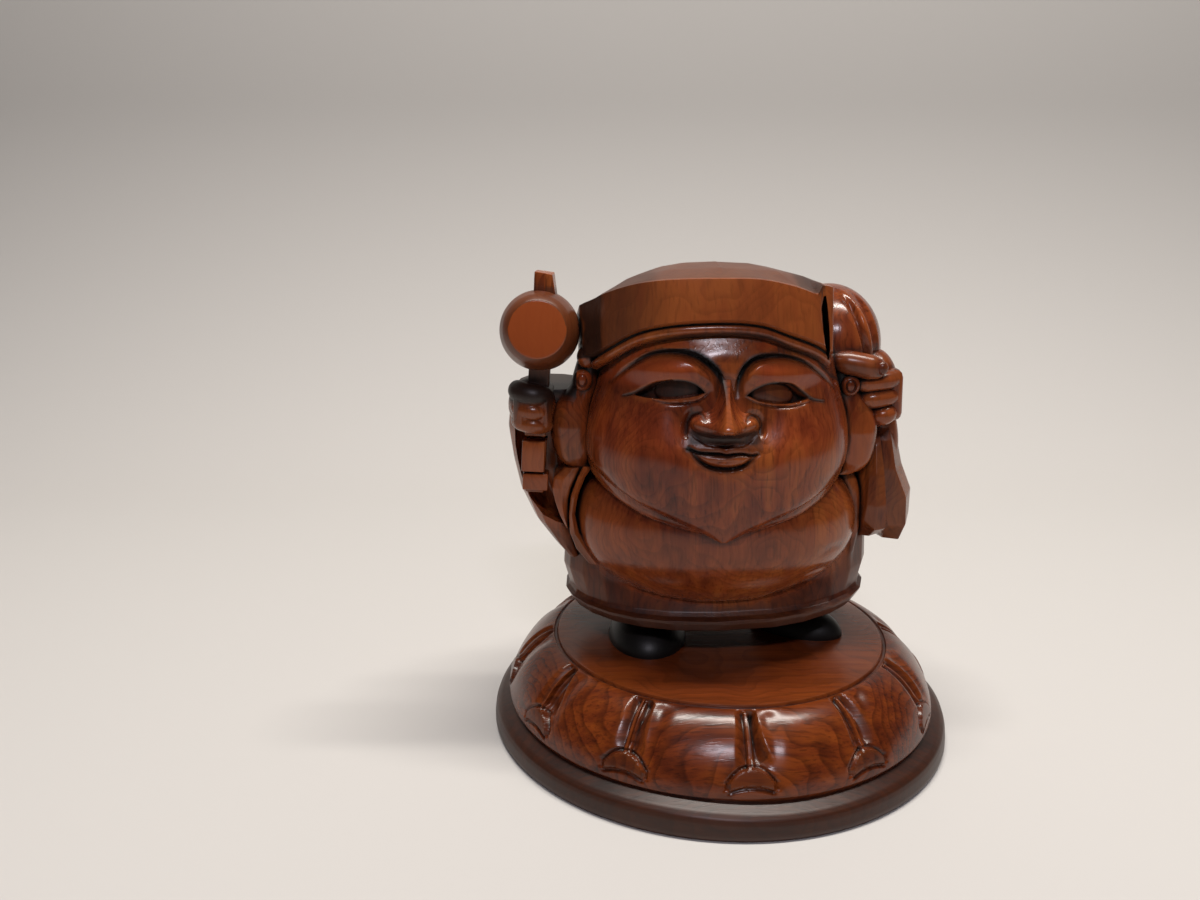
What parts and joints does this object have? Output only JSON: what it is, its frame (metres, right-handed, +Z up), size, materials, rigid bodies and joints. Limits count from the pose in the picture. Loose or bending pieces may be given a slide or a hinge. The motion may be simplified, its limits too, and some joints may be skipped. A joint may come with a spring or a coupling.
{
  "type": "carved wooden daikoku figure on a round base",
  "caption": "Carved wooden lucky god with a broad smiling face, cap, mallet and sack, standing on a round base carved with cushioned panels and stems.",
  "frame": {"origin": "middle of the round base's underside, on the surface that it stands on", "axes": "+Z up, the figure faces -Y, its mallet is on the -X side"},
  "size_m": [0.18, 0.18, 0.181],
  "materials": {
    "carved_wood": "hand carved, stained red-brown with dark pigment in the cuts, rubbed and lacquered to a gloss",
    "base_wood": "hand carved, stained red-brown with dark pigment in the cuts, lacquered"
  },
  "bodies": {
    "root": {"daikoku_figure": "carved_wood", "round_base": "base_wood"}
  },
  "joints": []
}
